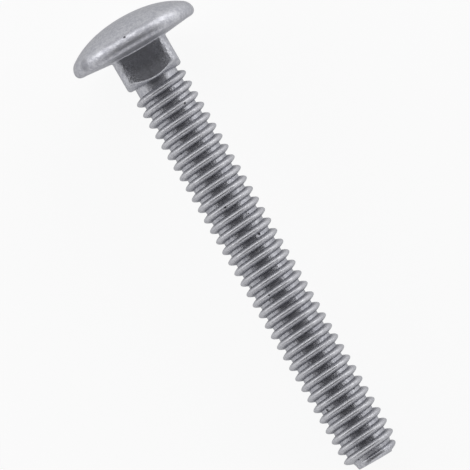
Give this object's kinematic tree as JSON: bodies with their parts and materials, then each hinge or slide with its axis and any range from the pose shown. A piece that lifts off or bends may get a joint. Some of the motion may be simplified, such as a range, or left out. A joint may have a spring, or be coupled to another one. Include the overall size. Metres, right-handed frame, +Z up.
{
  "type": "carriage bolt",
  "caption": "Carriage bolt with a low domed head, a square neck and a coarse rolled thread to the point.",
  "frame": {"origin": "on the bolt's axis, in the plane of the flat ring under the head", "axes": "+Z up as the bolt lies on a table; +X level, from head to point (the bolt's own axis dips 4.65 degrees below it); +Y square to one flat of the neck"},
  "size_m": [0.0534, 0.0142, 0.0143],
  "materials": {
    "zinc_coated_steel": "satin"
  },
  "bodies": {
    "root": {"carriage_bolt": "zinc_coated_steel"}
  },
  "joints": []
}
